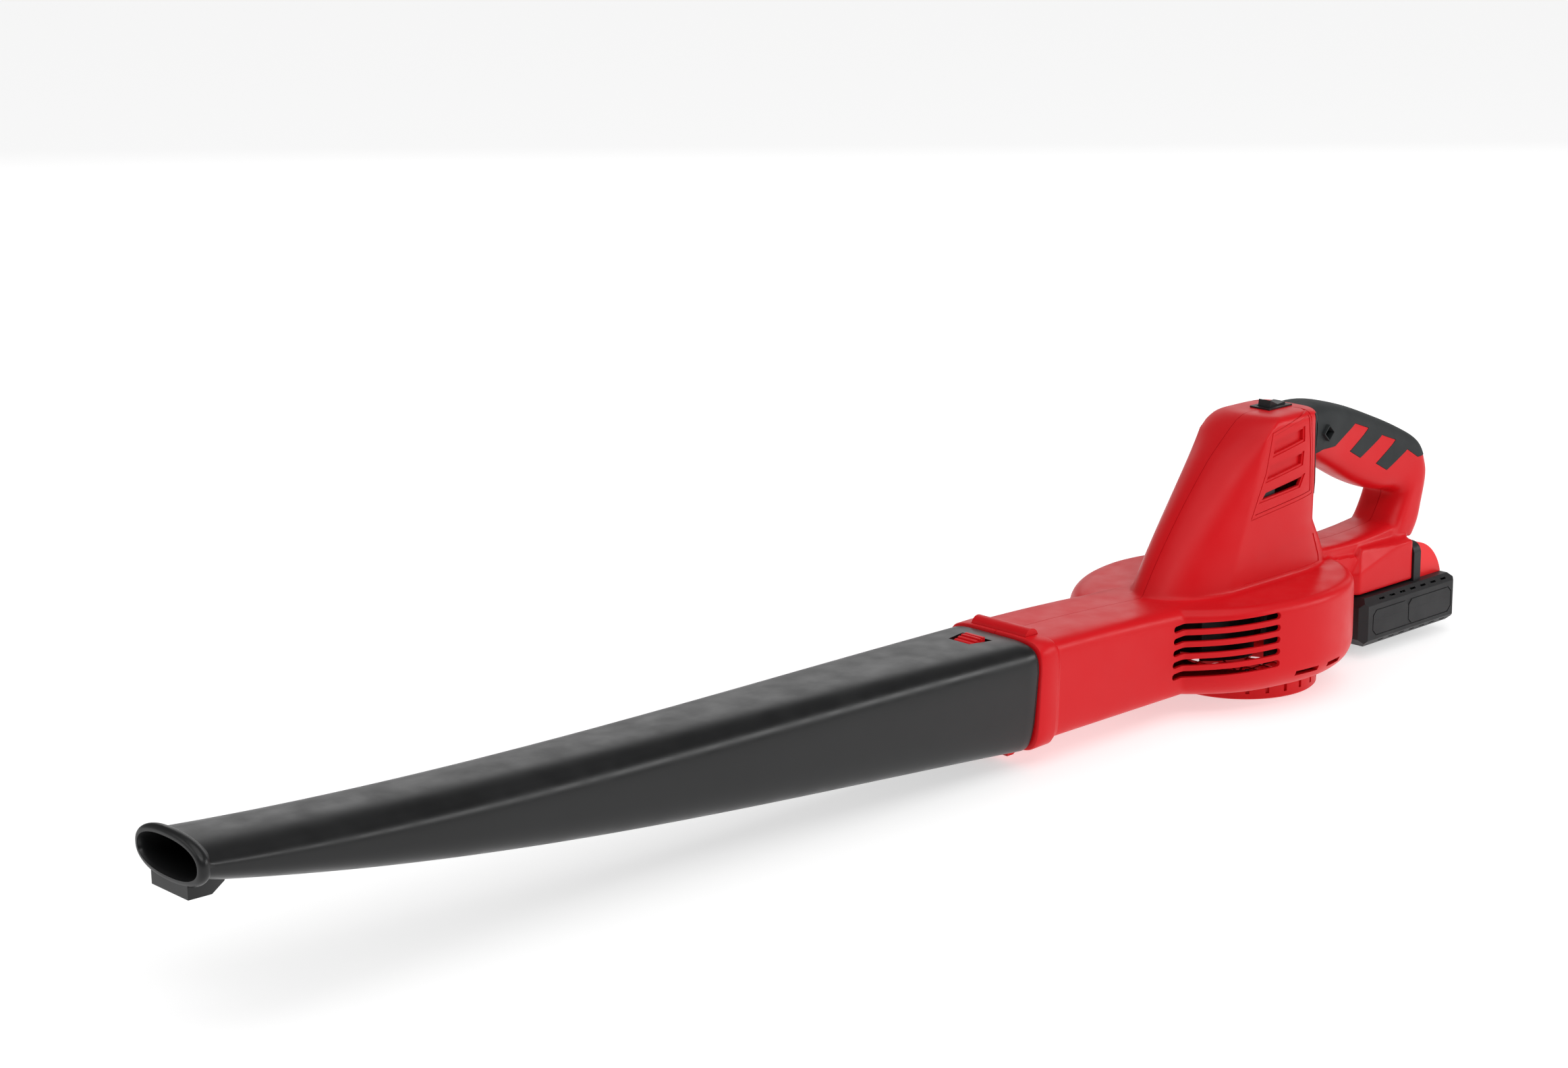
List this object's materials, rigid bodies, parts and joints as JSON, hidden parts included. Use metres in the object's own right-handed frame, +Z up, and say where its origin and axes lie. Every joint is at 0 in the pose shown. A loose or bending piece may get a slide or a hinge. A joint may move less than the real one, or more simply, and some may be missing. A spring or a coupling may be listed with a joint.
{
  "type": "cordless leaf blower",
  "caption": "Hand-held cordless leaf blower with a long tapered nozzle, fan housing with motor tower, D-handle with soft grip and a slide-on battery",
  "frame": {"origin": "centre of the flat hub under the air inlet, on the fan axis, at the level the blower stands on", "axes": "+X runs from the nozzle tip back to the battery, +Y is the right-hand side seen by the user, +Z is up along the fan axis"},
  "size_m": [1.056, 0.1752, 0.1937],
  "materials": {
    "satin_black": "satin, finely moulded",
    "red_shell": "glossy moulded",
    "soft_grip": "soft matte",
    "seal_rubber": "matte",
    "black_plastic": "matte",
    "battery_black": "matte",
    "fan_plastic": "matte",
    "steel": "plated",
    "motor_paint": "satin",
    "magnet": "matte",
    "copper_bar": "turned",
    "bearing_bronze": "sintered",
    "carbon": "matte",
    "gold_contact": "plated",
    "wire_red": "smooth",
    "wire_black": "smooth",
    "cell_sleeve": "smooth sleeve",
    "white_plastic": "matte",
    "nickel": "bright",
    "board_green": "solder mask"
  },
  "bodies": {
    "base": {"housing_left": "red_shell", "housing_right": "red_shell", "vent_left": "red_shell", "vent_right": "red_shell", "grip_left": "soft_grip", "grip_right": "soft_grip", "housing_screws": "steel", "grip_screw": "steel", "inlet_cover": "red_shell", "inlet_screws": "steel", "motor_can": "motor_paint", "motor_magnets": "magnet", "motor_end_cap": "black_plastic", "bearing_lower": "bearing_bronze", "bearing_upper": "bearing_bronze", "motor_brushes": "carbon", "motor_screws": "steel", "motor_isolator": "seal_rubber", "switch_body": "black_plastic", "switch_terminals": "gold_contact", "terminal_block": "black_plastic", "terminal_blades": "gold_contact", "wire_feed": "wire_red", "wire_return": "wire_red", "wire_motor": "wire_black", "latch_spring": "steel"},
    "nozzle": {"nozzle": "satin_black", "nozzle_seal": "seal_rubber"},
    "latch": {"nozzle_latch": "red_shell", "latch_catch": "red_shell"},
    "fan": {"impeller": "fan_plastic", "fan_nut": "steel", "motor_shaft": "steel", "armature": "steel", "commutator": "copper_bar"},
    "rocker": {"switch_rocker": "black_plastic"},
    "battery": {"battery_tray": "battery_black", "battery_lid": "battery_black", "battery_cell_1": "cell_sleeve", "battery_cell_2": "cell_sleeve", "battery_cell_3": "cell_sleeve", "battery_cell_4": "cell_sleeve", "battery_cell_5": "cell_sleeve", "cell_holder": "white_plastic", "nickel_strips": "nickel", "battery_board": "board_green", "battery_contacts": "gold_contact", "button_spring": "steel", "battery_screws": "steel"},
    "button": {"battery_button": "red_shell", "battery_catch": "red_shell"}
  },
  "joints": [
    {"name": "nozzle_slide", "type": "slide", "parent": "base", "child": "nozzle", "axis": [-1, 0, 0], "range_m": [0, 0.06], "deforming": ["latch_catch"]},
    {"name": "latch_press", "type": "slide", "parent": "base", "child": "latch", "axis": [0, 0, -1], "range_m": [0, 0.0046], "stiffness_N_per_m": 900, "springref_m": -0.003, "deforming": ["latch_spring"]},
    {"name": "fan_spin", "type": "hinge", "parent": "base", "child": "fan", "pos_m": [0, 0, 0.1], "axis": [0, 0, 1], "continuous": true},
    {"name": "rocker_tilt", "type": "hinge", "parent": "base", "child": "rocker", "pos_m": [0.028, 0, 0.186], "axis": [0, -1, 0], "range_deg": [0, 20]},
    {"name": "battery_slide", "type": "slide", "parent": "base", "child": "battery", "axis": [1, 0, 0], "range_m": [0, 0.07], "deforming": ["battery_catch"]},
    {"name": "button_press", "type": "slide", "parent": "battery", "child": "button", "axis": [0, 0, -1], "range_m": [0, 0.0035], "stiffness_N_per_m": 800, "springref_m": -0.003, "deforming": ["button_spring"]}
  ]
}
